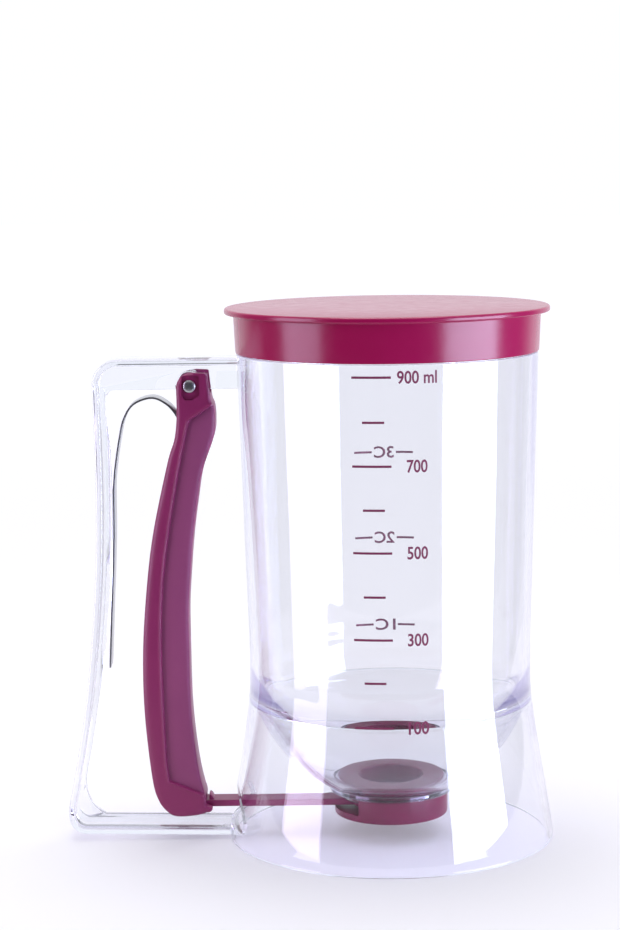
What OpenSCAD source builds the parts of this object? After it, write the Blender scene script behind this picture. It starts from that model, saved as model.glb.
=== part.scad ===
// Batter dispenser: a clear pitcher on a flared skirt, with a lift-off lid and a slide valve under its
// bowl. A sprung trigger lever inside the handle pulls the valve's gate open through a flat rod.
// The origin is on the pitcher's axis, level with the foot. +Z is up and the handle points along -X.

/* [Pitcher] */
// Outer radius of the wall just under the lid
wall_top_r = 50.4; // [49:0.1:53]
// Outer radius of the wall at the waist
waist_r = 47.5; // [45:0.1:49]
// Height of the waist, where the bowl's half sphere starts
waist_z = 60; // [57:0.5:63]
// Height of the straight stretch above the waist, below the taper
straight_h = 7; // [4:0.5:20]
// Height of the ledge that the lid's skirt comes down to
ledge_z = 164.9; // [164.3:0.1:170]
// Height of the rim above the ledge
rim_h = 13; // [9:0.1:16]
// Thickness of the clear walls
wall = 2.2; // [1.8:0.1:2.6]

/* [Base skirt] */
// Outer radius at the foot
foot_r = 55.3; // [53:0.1:58]
// Height at which the skirt starts to flare
flare_top_z = 56; // [54:0.5:57]
// Height of the bend between waist and flare
flare_bend_z = 41.5; // [38:0.5:45]
// Half the width of the window that the rod passes through
window_half_w = 20; // [16.5:0.5:22]
// Height of the window's lower edge
window_low_z = 5; // [4.6:0.1:6]
// Height of the crown of the window's arch
window_top_z = 17.8; // [17:0.1:20]
// Radius of the window's arch
window_arch_r = 26.7; // [24:0.1:32]

/* [Lid] */
// How far the lid's flat top stands out over its skirt
lid_lip = 3; // [1.8:0.1:5]
// Thickness of the top
lid_t = 1.9; // [1.4:0.1:2.4]
// How far the outer skirt stands out over the wall below it
lid_over = 0.2; // [0:0.1:0.6]
// Thickness of the outer skirt
lid_skirt_t = 1.4; // [1:0.1:1.6]
// How far the skirt widens from its lower edge up to the top
lid_draft = 0.6; // [0:0.1:1]
// Thickness of the plug ring inside the rim
plug_t = 1.5; // [1:0.1:2.5]
// Depth of the plug ring
plug_h = 6; // [4:0.5:9]

/* [Handle] */
// How far the top of the upper arm lies under the ledge
handle_drop = 1.2; // [0.8:0.1:2.4]
// Height of the underside of the lower arm where it meets the skirt
handle_low_z = 1.4; // [1:0.1:1.8]
// How much higher the lower arm's underside is at the grip
arm_rise = 0.9; // [0:0.1:1.2]
// Distance of the grip from the axis at the upper corner
grip_top_x = 98.3; // [97:0.1:102]
// Distance of the grip from the axis at the lower corner
grip_low_x = 109.5; // [106:0.1:114]
// Depth of the grip, from its outside to the edge of its web
grip_h = 5.2; // [4.6:0.1:6]
// Width of the flange, across the handle
flange_w = 15; // [12:0.5:18]
// Thickness of the flange
flange_t = 2.2; // [1.8:0.1:2.6]
// Thickness of the web inside the flange
web_t = 2.4; // [2:0.1:3.2]
// Height of the upper arm's web and flange together
arm_top_h = 10.6; // [9.6:0.1:11]
// Height of the lower arm's web and flange together
arm_low_h = 5.4; // [4.6:0.1:5.5]
// Radius of the boss that holds the pivot pin
boss_r = 4.6; // [4:0.1:5]

/* [Trigger lever] */
// Distance of the pivot from the pitcher's axis
pivot_x = 65.9; // [65.4:0.1:67]
// How far the pivot lies under the top of the upper arm
pivot_drop = 9; // [8.6:0.1:9.4]
// Width of the lever across its cheeks
lever_w = 16.8; // [15:0.2:19]
// How far the lever's belly reaches behind the pivot
lever_depth = 17.4; // [16:0.1:18.5]
// Thickness of each cheek
cheek_t = 2.4; // [1.8:0.1:2.6]
// Thickness of the wall under the fingers
finger_t = 2.2; // [1.6:0.1:2.6]
// Thickness of the lever's closed bottom
lever_bottom_t = 1.3; // [1:0.1:1.4]
// How deep the side panels are let in
panel_recess = 0.8; // [0.4:0.1:1]
// Radius of the pivot pin
pin_r = 1.6; // [1.2:0.1:2]
// Radius of the pin's head
pin_head_r = 2.1; // [1.9:0.1:2.6]
// Height of the pin's head
pin_head_h = 0.8; // [0.5:0.1:1.1]
// Depth of the pocket round the pin's head
pin_pocket_d = 1.1; // [0.6:0.1:1.4]

/* [Return spring] */
// How far behind the pivot the bend reaches
spring_reach = 25.2; // [24.8:0.1:25.6]
// How far below the pivot the inner end lies
spring_drop = 43.9; // [40:0.1:46]
// Width of the steel strip
strip_w = 9; // [7:0.5:10]
// Thickness of the steel strip
strip_t = 0.7; // [0.5:0.1:0.9]

/* [Valve] */
// Height of the underside of the bowl's floor
floor_z = 15.4; // [15.2:0.1:15.8]
// Radius of the flat boss under the floor
floor_r = 20.8; // [20:0.1:22]
// Thickness of the bowl's floor
floor_t = 2.2; // [1.8:0.1:2.6]
// Radius of the bore that the batter runs through
bore_r = 10.9; // [9:0.1:11.5]
// Outer radius of the seat's tube
tube_r = 13; // [12.4:0.1:13.6]
// Radius of the seat's flange
seat_r = 18.4; // [17:0.1:19]
// Thickness of the seat's flange
seat_t = 1.8; // [1.4:0.1:2.4]
// Thickness of the silicone gasket
gasket_t = 0.6; // [0.4:0.1:1]
// Outer radius of the housing under the bowl
housing_r = 19.2; // [18.8:0.1:20]
// Height of the housing's underside
housing_z = 7.4; // [7:0.1:7.8]
// Thickness of the housing's wall
housing_t = 1.8; // [1.4:0.1:2]
// Thickness of the housing's floor
housing_floor_t = 1.7; // [1.4:0.1:1.9]
// Radius of the outlet in the housing's floor
outlet_r = 9; // [7:0.1:10]
// Half the width of the notch that the gate slides out through
port_half_w = 16.2; // [14:0.1:16.4]
// Thickness of the collar that the housing snaps on
collar_t = 1.8; // [1.4:0.1:2.2]
// Depth of the collar under the floor
collar_h = 2; // [1.6:0.1:2.2]

/* [Pull rod] */
// Width of the rod
rod_w = 8; // [6:0.2:9]
// Thickness of the rod and its gate
rod_t = 2.2; // [1.8:0.1:2.3]
// Height of the rod's underside
rod_z = 10.5; // [10.4:0.1:10.6]
// Radius of the gate
gate_r = 13.2; // [12.6:0.1:13.6]
// Height of the catches on the rod, each side of the lever's wall
catch_h = 1.7; // [1.4:0.1:2]

/* [Fits] */
// Gap between parts that lift or slide apart
lift_gap = 0.3; // [0.2:0.05:0.4]
// Gap round the gate and the rod
slide_gap = 0.1; // [0.06:0.02:0.14]
// Gap round the lever's pivot pin
pin_gap = 0.05; // [0.02:0.01:0.08]
// Gap of the snap fits and seats
snap_gap = 0.08; // [0.04:0.02:0.12]
// Gap between the lever's cheeks and the boss
cheek_gap = 0.3; // [0.2:0.05:0.4]

/* [Hidden] */
$fn = 96;

clear_plastic = [0.9, 0.91, 0.97, 0.35];
magenta_plastic = [0.6, 0.1, 0.34];
steel = [0.62, 0.63, 0.64];
silicone = [0.92, 0.92, 0.9];

big = 400;
edge = 0.4;
round_fn = 128;

rim_top_z = ledge_z + rim_h;
lid_under_z = rim_top_z + lift_gap;
lid_skirt_r = wall_top_r + lid_over;
lid_r = lid_skirt_r + lid_draft + lid_lip;
bore_wall_r = wall_top_r - wall;
rim_r = lid_skirt_r - lid_skirt_t - snap_gap;
bowl_r = waist_r - wall;

taper_z = waist_z + straight_h;
handle_top_z = ledge_z - handle_drop;
pivot_z = handle_top_z - pivot_drop;

floor_top_z = floor_z + floor_t;
seat_z = floor_top_z + gasket_t;
seat_room = 0.5;
housing_in_r = housing_r - housing_t;
housing_in_z = housing_z + housing_floor_t;
collar_r = housing_in_r - snap_gap;
rod_top_z = rod_z + rod_t;
port_play = 0.8;
bead_out = 0.7;
bead_h = 1;
bead_gap = 0.2;

cheek_in = lever_w / 2 - cheek_t;
boss_w = 2 * (cheek_in - cheek_gap);
lever_drop = pivot_z - rod_z - rod_t / 2;
head_r = 5.2;
head_back = 4.4;
head_drop = 0.7;
toe_in = 2.9;
rod_wall_x = pivot_x - toe_in;
slot_low_z = rod_z - 1.15;
slot_len = 12;
slot_side = 0.6;
tip_lift = 0.6;
catch_front = 2;
catch_rear = 1.4;
catch_side = 1;
rib_h = 8;

// A point on a cubic curve with four control points
function bezier_at(p, t) = pow(1 - t, 3) * p[0] + 3 * pow(1 - t, 2) * t * p[1]
    + 3 * (1 - t) * t * t * p[2] + pow(t, 3) * p[3];
function bezier(p, steps) = [for (i = [0:steps]) bezier_at(p, i / steps)];

// A point on the smooth curve through the points of p, between points i and i + 1
function spline_at(p, i, t) =
    let (last = len(p) - 1, a = p[max(i - 1, 0)], b = p[i], c = p[i + 1], d = p[min(i + 2, last)])
    0.5 * (2 * b + (c - a) * t + (2 * a - 5 * b + 4 * c - d) * t * t
    + (3 * b - a - 3 * c + d) * t * t * t);
function spline(p, steps) = concat([for (i = [0:len(p) - 2], s = [0:steps - 1])
    spline_at(p, i, s / steps)], [p[len(p) - 1]]);

// Points on an arc round centre c, from one angle to another
function arc(c, r, from, to, steps) = [for (i = [0:steps])
    let (a = from + (to - from) * i / steps) c + r * [cos(a), sin(a)]];

// A strip of even thickness t along a path
function heading(p, i) = let (d = p[min(i + 1, len(p) - 1)] - p[max(i - 1, 0)]) d / norm(d);
function beside(p, i, s) = p[i] + s * [-heading(p, i)[1], heading(p, i)[0]];
function strip(p, t) = concat([for (i = [0:len(p) - 1]) beside(p, i, t / 2)],
    [for (i = [len(p) - 1:-1:0]) beside(p, i, -t / 2)]);

// Turns an outline in x and z into a plate of width w, centred at y
module across(w, y = 0) {
    translate([0, y + w / 2, 0]) rotate([90, 0, 0]) linear_extrude(w) children();
}

// A round bar of radius r and length w through the pivot
module pivot_bar(r, w, y = 0) {
    translate([-pivot_x, y + w / 2, pivot_z]) rotate([90, 0, 0]) cylinder(h = w, r = r, $fn = 48);
}

// Section of a ring between two radii and two heights
module ring_section(r1, r2, z1, z2) {
    translate([r1, z1]) square([r2 - r1, z2 - z1]);
}

// --- Pitcher ---------------------------------------------------------------------------------

// Outer line of the wall from the rim's ledge down to the waist, and of the skirt from there down
wall_line = [[wall_top_r, ledge_z], [waist_r, taper_z], [waist_r, waist_z]];
skirt_line = bezier([[waist_r, flare_top_z],
    [waist_r, flare_top_z - 0.59 * (flare_top_z - flare_bend_z)],
    [waist_r + 0.14 * (foot_r - waist_r), flare_bend_z], [foot_r, 2 * edge]], 12);

module pitcher_wall() {
    color(clear_plastic) rotate_extrude($fn = round_fn) polygon(concat(
        [[bowl_r, waist_z], [bowl_r, taper_z], [bore_wall_r, ledge_z], [bore_wall_r, rim_top_z],
        [rim_r - edge, rim_top_z], [rim_r, rim_top_z - edge], [rim_r, ledge_z]], wall_line));
}

module bowl_ball(r) {
    translate([0, waist_z]) circle(r = r, $fn = round_fn);
}

// The half sphere on its flat boss, with the seat's hole and the housing's collar
module pitcher_bowl() {
    color(clear_plastic) rotate_extrude($fn = round_fn) {
        difference() {
            union() {
                intersection() {
                    bowl_ball(waist_r);
                    ring_section(0, waist_r, floor_z, waist_z);
                }
                ring_section(0, floor_r, floor_z, floor_top_z + wall);
            }
            intersection() {
                bowl_ball(bowl_r);
                ring_section(0, bowl_r, floor_top_z, waist_z);
            }
            ring_section(0, seat_r + seat_room, floor_top_z, waist_z);
            ring_section(0, tube_r + snap_gap, 0, waist_z);
        }
        ring_section(collar_r - collar_t, collar_r, floor_z - collar_h, floor_z);
    }
}

module skirt_profile() {
    difference() {
        polygon(concat([[bowl_r, waist_z], [waist_r, waist_z]], skirt_line,
            [[foot_r - edge, 0], [foot_r - wall, 0]],
            [for (i = [len(skirt_line) - 1:-1:0]) skirt_line[i] - [wall, 0]]));
        bowl_ball(waist_r);
    }
}

// Arched window in the skirt on the handle's side
module rod_window() {
    rotate([90, 0, -90]) linear_extrude(2 * foot_r) intersection() {
        translate([-window_half_w, window_low_z]) square([2 * window_half_w, window_top_z]);
        translate([0, window_top_z - window_arch_r]) circle(r = window_arch_r, $fn = 96);
    }
}

module base_skirt() {
    color(clear_plastic) difference() {
        rotate_extrude($fn = round_fn) skirt_profile();
        rod_window();
    }
}

// --- Handle ----------------------------------------------------------------------------------

corner_top_r = 8.5;
corner_low_r = 6;
corner_in_r = 3;
heel_h = 14.7;
joint_top = 6;
joint_low = 14;
hole_top_z = handle_top_z - arm_top_h;
hole_low_z = handle_low_z + arm_rise + arm_low_h;
slope = arm_rise / (grip_low_x - foot_r);

// A place on the grip: how far it leans out, how deep inside the outside, and how high, as shares
function by_grip(lean, depth, share) = [
    -grip_top_x - lean * (grip_low_x - grip_top_x) + depth * grip_h,
    handle_low_z + share * (handle_top_z - handle_low_z)];

// A place in the lower corner of the opening, in shares of the corner's height
function by_heel(dx, dz) = [-grip_low_x, hole_low_z] + heel_h * [dx, dz];

grip_line = spline([[-grip_top_x, handle_top_z - corner_top_r], by_grip(-0.045, 0, 0.712),
    by_grip(0.08, 0, 0.503), by_grip(0.438, 0, 0.271),
    [-grip_low_x, handle_low_z + arm_rise + 1.5 * corner_low_r]], 5);

// Edge of the web, with the run that the spring lies along as lean, depth and height
web_run = [[-0.035, 1, 0.799], [-0.045, 1, 0.731], [-0.035, 0.983, 0.645], [0.02, 0.985, 0.558],
    [0.09, 1.02, 0.497]];
hole_line = spline(concat([[by_grip(0, 0.81, 0)[0], hole_top_z - corner_in_r],
    by_grip(-0.02, 0.913, 0.852)], [for (q = web_run) by_grip(q[0], q[1], q[2])],
    [by_grip(0.2, 1.008, 0.412), by_grip(0.29, 0.875, 0.355), by_grip(0.39, 0.744, 0.293),
    by_grip(0.55, 0.646, 0.208), by_heel(0.401, 1), by_heel(0.381, 0.735), by_heel(0.422, 0.469),
    by_heel(0.565, 0.197), by_heel(0.816, 0)]), 4);

module handle_outline() {
    polygon(concat([[0, handle_low_z - slope * foot_r], [0, handle_top_z]],
        arc([-grip_top_x + corner_top_r, handle_top_z - corner_top_r], corner_top_r, 90, 180, 10),
        grip_line,
        arc([-grip_low_x + corner_low_r, handle_low_z + arm_rise + corner_low_r], corner_low_r,
        180, 270, 8)));
}

module handle_hole() {
    polygon(concat([[0, hole_low_z - slope * grip_low_x], [0, hole_top_z]],
        arc([hole_line[0][0] + corner_in_r, hole_top_z - corner_in_r], corner_in_r, 90, 180, 6),
        hole_line));
}

// The whole handle: a flange along its outside and a web inside it, up to the pitcher's wall
module handle_frame() {
    difference() {
        union() {
            across(flange_w) difference() {
                handle_outline();
                offset(delta = -flange_t) handle_outline();
            }
            across(web_t) difference() {
                handle_outline();
                handle_hole();
            }
            pivot_bar(boss_r, boss_w);
        }
        pivot_bar(pin_r, big);
        rotate_extrude($fn = round_fn) polygon(concat([[0, -1], [0, big], [wall_top_r, big]],
            wall_line, skirt_line, [[foot_r, -1]]));
    }
}

// The part of the handle between two heights
module handle_slice(low, high) {
    color(clear_plastic) intersection() {
        handle_frame();
        translate([-big, -big / 2, low]) cube([big, big, high - low]);
    }
}

cut_top_z = hole_top_z - joint_top;
cut_low_z = hole_low_z + joint_low;

module handle_top_arm() { handle_slice(cut_top_z, big); }
module handle_grip() { handle_slice(cut_low_z, cut_top_z); }
module handle_bottom_arm() { handle_slice(-1, cut_low_z); }

// --- Lid -------------------------------------------------------------------------------------

module lid() {
    top_z = lid_under_z + lid_t;
    skirt_low_z = ledge_z + lift_gap;
    skirt_in_r = lid_skirt_r - lid_skirt_t;
    plug_r = bore_wall_r - lift_gap;
    plug_low_z = lid_under_z - plug_h;
    color(magenta_plastic) rotate_extrude($fn = round_fn) polygon([
        [0, lid_under_z], [plug_r - plug_t, lid_under_z], [plug_r - plug_t, plug_low_z],
        [plug_r - edge, plug_low_z], [plug_r, plug_low_z + 2 * edge],
        [plug_r, lid_under_z], [skirt_in_r, lid_under_z], [skirt_in_r, skirt_low_z],
        [lid_skirt_r, skirt_low_z], [lid_skirt_r + lid_draft, lid_under_z],
        [lid_r - edge, lid_under_z], [lid_r, lid_under_z + edge], [lid_r, top_z - 1.5 * edge],
        [lid_r - edge / 2, top_z - edge / 2], [lid_r - 1.5 * edge, top_z], [0, top_z]]);
}

// --- Trigger lever ---------------------------------------------------------------------------

// A place on the lever: how far behind the pivot and how far down, as shares of its depth and length
function on_lever(back, share) = [-pivot_x - back * lever_depth, pivot_z - share * lever_drop];
function on_lever_all(p) = [for (q = p) on_lever(q[0], q[1])];
head = head_back / lever_depth;
toe = toe_in / lever_depth;

back_line = spline(on_lever_all([[head, 0.01], [head, 0.07], [0.305, 0.124], [0.448, 0.18],
    [0.759, 0.35], [0.92, 0.5], [1, 0.64], [0.989, 0.78], [0.874, 0.93], [0.759, 0.985],
    [0.586, 1.014], [0.397, 1.025], [0.029, 1.023], [-0.195, 1.016]]), 4);
finger_line = spline(on_lever_all([[-0.287, 1.01], [-0.282, 1.004], [-toe, 0.997], [-toe, 0.982],
    [-0.063, 0.927], [0.023, 0.853], [0.086, 0.752], [0.098, 0.6], [0.092, 0.52], [0.04, 0.433],
    [-0.023, 0.353], [-0.121, 0.269], [-0.224, 0.198], [-0.448, 0.12], [-0.483, 0.082],
    [-0.466, 0.05], [-0.408, 0.031], [-0.345, -0.03]]), 4);
panel_line = spline(on_lever_all([[0.034, 0.08], [0.282, 0.22], [0.563, 0.43], [0.649, 0.62],
    [0.603, 0.86], [0.54, 0.937]]), 4);

// Outline of the pocket round the pin's head, from the pivot, in radii of the head
pocket_line = [[-1.2, -1.55], [-1.2, 1.45], [-0.9, 1.7], [1.35, 1.7], [1.6, 1.45], [1.6, -1.4],
    [0.45, -2.15], [-0.75, -2.15]];

module lever_outline() {
    polygon(concat(arc([-pivot_x + head_r - head_back, pivot_z - head_drop], head_r, 90, 180, 8),
        back_line, finger_line));
}

// The side panel, from its curved rear edge out past the finger side
module panel_outline() {
    polygon(concat(panel_line, on_lever_all([[-0.126, 0.972], [-2, 0.972], [-2, -0.03],
        [-0.5, 0.038]])));
}

// Wall under the fingers and closed bottom: the outline less itself moved back and up
module lever_wall_outline() {
    difference() {
        lever_outline();
        translate([-finger_t, lever_bottom_t]) lever_outline();
        translate([-big, hole_top_z - 4 * lift_gap]) square([2 * big, big]);
    }
}

// Two ribs inside each cheek that hold the spring's inner end against the wall
module spring_ribs() {
    rib_w = (lever_w - 2 * cheek_t - strip_w) / 2 + lift_gap;
    for (side = [-1, 1]) across(rib_w, side * (cheek_in - rib_w / 2 + edge / 8)) intersection() {
        translate([-finger_t - strip_t - 6 * lift_gap, 0]) lever_wall_outline();
        translate([-big, pivot_z - spring_drop]) square([2 * big, rib_h]);
    }
}

module trigger_lever() {
    cut = panel_recess + 1;
    color(magenta_plastic) difference() {
        union() {
            for (side = [-1, 1]) across(cheek_t, side * (lever_w - cheek_t) / 2) lever_outline();
            across(lever_w - cheek_t) lever_wall_outline();
            spring_ribs();
        }
        for (side = [-1, 1]) {
            across(cut, side * (lever_w / 2 - panel_recess + cut / 2)) panel_outline();
            across(2 * pin_pocket_d, side * lever_w / 2) translate([-pivot_x, pivot_z])
                polygon(pin_head_r * pocket_line);
        }
        pivot_bar(pin_r + pin_gap, big);
        // Way for the rod through the wall, above the closed bottom
        translate([-rod_wall_x - slot_len / 2, -rod_w / 2 - slot_side, slot_low_z])
            cube([slot_len, rod_w + 2 * slot_side, rod_top_z + lift_gap - slot_low_z]);
    }
}

// The pin runs through both cheeks and the boss, with a low head in each pocket
module pivot_pin() {
    head_y = lever_w / 2 - pin_pocket_d + pin_head_h / 2 + pin_gap;
    color(steel) union() {
        pivot_bar(pin_r, 2 * head_y);
        for (side = [-1, 1]) pivot_bar(pin_head_r, pin_head_h, side * head_y);
    }
}

// --- Return spring ---------------------------------------------------------------------------

// A place on the bend: how far behind the pivot and below it, in shares of the bend's reach
function by_bend(back, down) = [-pivot_x, pivot_z] - spring_reach * [back, down];

// From its free end, up along the grip's web, over the bend and down inside the lever
web_side = lift_gap + strip_t / 2;
spring_line = spline(concat([by_grip(0.29, 1.337, 0.357), by_grip(0.186, 1.227, 0.423)],
    [for (i = [len(web_run) - 1:-1:1]) let (q = web_run[i])
    by_grip(q[0], q[1], q[2]) + [web_side, 0]],
    [by_bend(1, 1.036), by_bend(0.944, 0.702), by_bend(0.881, 0.44), by_bend(0.75, 0.242),
    by_bend(0.508, 0.159), by_bend(0.313, 0.242), by_bend(0.175, 0.409), by_bend(0.083, 0.671),
    by_bend(0.028, 0.988), by_bend(0.024, 1.306),
    [-pivot_x - finger_t - web_side + 1, pivot_z - spring_drop]]), 4);

module return_spring() {
    color(steel) across(strip_w) polygon(strip(spring_line, strip_t));
}

// --- Valve -----------------------------------------------------------------------------------

// Tube through the bowl's floor with a wide flange above it and a snap bead below it
module valve_seat() {
    top_z = seat_z + seat_t;
    low_z = rod_top_z + slide_gap;
    bead_z = floor_z - bead_gap;
    color(magenta_plastic) rotate_extrude($fn = 96) polygon([
        [bore_r, low_z], [tube_r, low_z], [tube_r, bead_z - bead_h - edge],
        [tube_r + bead_out, bead_z - bead_h], [tube_r + bead_out, bead_z], [tube_r, bead_z],
        [tube_r, seat_z], [seat_r, seat_z], [seat_r, top_z - edge], [seat_r - edge, top_z],
        [bore_r + edge, top_z], [bore_r, top_z - edge]]);
}

module seat_gasket() {
    color(silicone) translate([0, 0, floor_top_z]) difference() {
        cylinder(h = gasket_t, r = seat_r - 2 * edge, $fn = 96);
        translate([0, 0, -1]) cylinder(h = gasket_t + 2, r = tube_r + snap_gap, $fn = 96);
    }
}

// Cup that snaps on the collar, with guides for the gate, a lip round the outlet and a wide notch
module valve_housing() {
    lip_z = rod_z - slide_gap;
    lip_t = 2.4;
    guide_y = gate_r + lift_gap;
    guide_t = 1.4;
    color(magenta_plastic) difference() {
        union() {
            rotate_extrude($fn = 96) {
                polygon([[0, housing_z], [housing_r - edge, housing_z],
                    [housing_r, housing_z + edge], [housing_r, floor_z], [housing_in_r, floor_z],
                    [housing_in_r, housing_in_z], [0, housing_in_z]]);
                ring_section(outlet_r, outlet_r + lip_t, housing_in_z - edge, lip_z);
            }
            for (side = [-1, 1]) intersection() {
                translate([-gate_r, side < 0 ? -guide_y - guide_t : guide_y, housing_in_z - edge])
                    cube([2 * gate_r, guide_t, rod_top_z - housing_in_z + edge]);
                cylinder(h = floor_z, r = housing_in_r + edge, $fn = 96);
            }
        }
        translate([0, 0, -1]) cylinder(h = floor_z, r = outlet_r, $fn = 96);
        translate([-2 * housing_r, -port_half_w, rod_z - port_play])
            cube([2 * housing_r - outlet_r, 2 * port_half_w, floor_z]);
    }
}

// --- Pull rod --------------------------------------------------------------------------------

// A catch that stands on the rod: its upright face at x, leaning away over its length
module rod_catch(x, length) {
    low_z = rod_top_z - edge;
    top_z = rod_top_z + catch_h;
    across(rod_w - 2 * catch_side) polygon([[x, low_z], [x, top_z - edge], [x + sign(length) * edge, top_z],
        [x + length / 2, top_z - edge], [x + length, low_z]]);
}

// Flat rod with the round gate at one end and two catches round the lever's wall at the other
module pull_rod() {
    front_x = -rod_wall_x + 3 * lift_gap;
    rear_x = -rod_wall_x - finger_t - 2 * lift_gap;
    rod_end_x = catch_rear - rear_x;
    color(magenta_plastic) union() {
        translate([0, 0, rod_z]) cylinder(h = rod_t, r = gate_r, $fn = 96);
        translate([-rod_wall_x, -rod_w / 2, rod_z]) cube([rod_wall_x - gate_r / 2, rod_w, rod_t]);
        translate([-rod_end_x, -rod_w / 2, rod_z + tip_lift])
            cube([rod_end_x - gate_r, rod_w, rod_t - tip_lift]);
        rod_catch(front_x, catch_front);
        rod_catch(rear_x, -catch_rear);
    }
}

pitcher_wall();
pitcher_bowl();
base_skirt();
handle_top_arm();
handle_grip();
handle_bottom_arm();
lid();
trigger_lever();
pivot_pin();
return_spring();
pull_rod();
valve_seat();
seat_gasket();
valve_housing();
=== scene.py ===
# %% [markdown]
# # A batter dispenser
#
# A clear pitcher with a magenta lid. A sprung lever in its handle pulls a flat rod, and the rod slides a
# gate open under the bowl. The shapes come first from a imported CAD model, which stays as a fixed frame
# that nothing here moves. Each step below makes one piece, in millimetres, and turns it into metres last.

# %% The frame
import math

import bmesh
import bpy
import numpy as np
from mathutils import Matrix, Vector
from mathutils.geometry import delaunay_2d_cdt


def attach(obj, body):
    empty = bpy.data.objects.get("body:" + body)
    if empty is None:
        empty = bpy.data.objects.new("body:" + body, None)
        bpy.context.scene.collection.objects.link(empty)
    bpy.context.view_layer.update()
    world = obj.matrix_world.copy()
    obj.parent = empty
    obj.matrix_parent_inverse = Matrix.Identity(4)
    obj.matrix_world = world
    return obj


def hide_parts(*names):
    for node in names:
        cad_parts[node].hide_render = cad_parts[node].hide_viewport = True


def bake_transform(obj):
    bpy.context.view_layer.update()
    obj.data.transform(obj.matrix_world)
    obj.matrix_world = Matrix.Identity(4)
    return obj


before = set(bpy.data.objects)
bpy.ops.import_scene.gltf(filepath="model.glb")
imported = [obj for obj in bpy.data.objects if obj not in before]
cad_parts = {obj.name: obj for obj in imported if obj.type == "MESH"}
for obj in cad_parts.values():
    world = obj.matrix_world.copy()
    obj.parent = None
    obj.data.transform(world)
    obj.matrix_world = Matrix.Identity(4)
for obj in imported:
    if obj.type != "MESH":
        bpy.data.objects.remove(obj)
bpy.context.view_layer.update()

scene = bpy.context.scene

# %% [markdown]
# ## Lines
#
# Moulded parts are drawn as outlines first. A spline gives the long soft curves, a Bezier the flare of the
# skirt, and a corner with a radius becomes a short arc. Mesh modelling could start from a cube too, but an
# outline keeps the real proportions.

# %% Line helpers
MM = 0.001


def spline(points, steps):
    """A smooth curve through the points, with so many steps between two of them."""
    p = [np.array(q, float) for q in points]
    out = []
    for i in range(len(p) - 1):
        a, b, c, d = p[max(i - 1, 0)], p[i], p[i + 1], p[min(i + 2, len(p) - 1)]
        for s in range(steps):
            t = s / steps
            out.append(0.5 * (2 * b + (c - a) * t + (2 * a - 5 * b + 4 * c - d) * t * t
                              + (3 * b - a - 3 * c + d) * t ** 3))
    return [tuple(q) for q in out + [p[-1]]]


def bezier(p, steps):
    """A cubic curve with four control points."""
    p = [np.array(q, float) for q in p]
    share = [i / steps for i in range(steps + 1)]
    return [tuple((1 - t) ** 3 * p[0] + 3 * (1 - t) ** 2 * t * p[1] + 3 * (1 - t) * t * t * p[2]
                  + t ** 3 * p[3]) for t in share]


def arc(centre, radius, start, end, steps):
    """Points on an arc, its angles in degrees."""
    angles = [math.radians(start + (end - start) * i / steps) for i in range(steps + 1)]
    return [(centre[0] + radius * math.cos(a), centre[1] + radius * math.sin(a)) for a in angles]


def rounded(points, steps=4, closed=True):
    """The same line, with an arc at each corner that has a radius as its third number."""
    out, n = [], len(points)
    for i, p in enumerate(points):
        if len(p) == 2 or (not closed and i in (0, n - 1)):
            out.append((p[0], p[1]))
            continue
        here = Vector(p[:2])
        to_a, to_b = Vector(points[i - 1][:2]) - here, Vector(points[(i + 1) % n][:2]) - here
        half = to_a.angle(to_b) / 2
        back = min(p[2] / math.tan(half), 0.49 * to_a.length, 0.49 * to_b.length)
        way_a, way_b = to_a.normalized(), to_b.normalized()
        a, b = here + way_a * back, here + way_b * back
        middle = here + (way_a + way_b).normalized() * back / math.cos(half)
        turn = (b - middle).angle_signed(a - middle)
        for s in range(steps + 1):
            spoke = a - middle
            spoke.rotate(Matrix.Rotation(turn * s / steps, 2))
            out.append(tuple(middle + spoke))
    return out


def rectangle(x_low, x_high, z_low, z_high):
    return [(x_low, z_low), (x_high, z_low), (x_high, z_high), (x_low, z_high)]


# %% [markdown]
# ## Meshes
#
# Small helpers turn lines into closed meshes: a prism for a plate, a weld that also points the faces
# outwards, and a Boolean that leaves a plain mesh behind.

# %% Mesh helpers
def placed(name, data):
    """An object at the origin, linked to the scene."""
    obj = bpy.data.objects.new(name, data)
    scene.collection.objects.link(obj)
    return obj


def piece(name, verts, faces=(), material=None, edges=()):
    """An object at the origin from points in millimetres."""
    mesh = bpy.data.meshes.new(name)
    mesh.from_pydata([tuple(c * MM for c in v) for v in verts], edges, faces)
    if material:
        mesh.materials.append(material)
    return placed(name, mesh)


def weld(obj, gap=0.002):
    """Merges points that lie together and points all faces outwards."""
    bm = bmesh.new()
    bm.from_mesh(obj.data)
    bmesh.ops.remove_doubles(bm, verts=bm.verts, dist=gap * MM)
    bmesh.ops.dissolve_degenerate(bm, edges=bm.edges, dist=gap * MM)
    bmesh.ops.recalc_face_normals(bm, faces=bm.faces)
    bm.to_mesh(obj.data)
    bm.free()
    return obj


def soften(obj, angle=32):
    """Smooth shading, with edges kept where faces meet at more than the angle."""
    obj.data.shade_smooth()
    obj.data.set_sharp_from_angle(angle=math.radians(angle))
    return obj


def made_mesh(obj):
    """A plain mesh of what an object's modifiers or its text make."""
    bpy.context.view_layer.update()
    return bpy.data.meshes.new_from_object(obj.evaluated_get(bpy.context.evaluated_depsgraph_get()))


def settle(obj):
    """Turns what the modifiers make into the object's own mesh."""
    old, obj.data = obj.data, made_mesh(obj)
    obj.modifiers.clear()
    bpy.data.meshes.remove(old)
    obj.data.name = obj.name
    return obj


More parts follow.
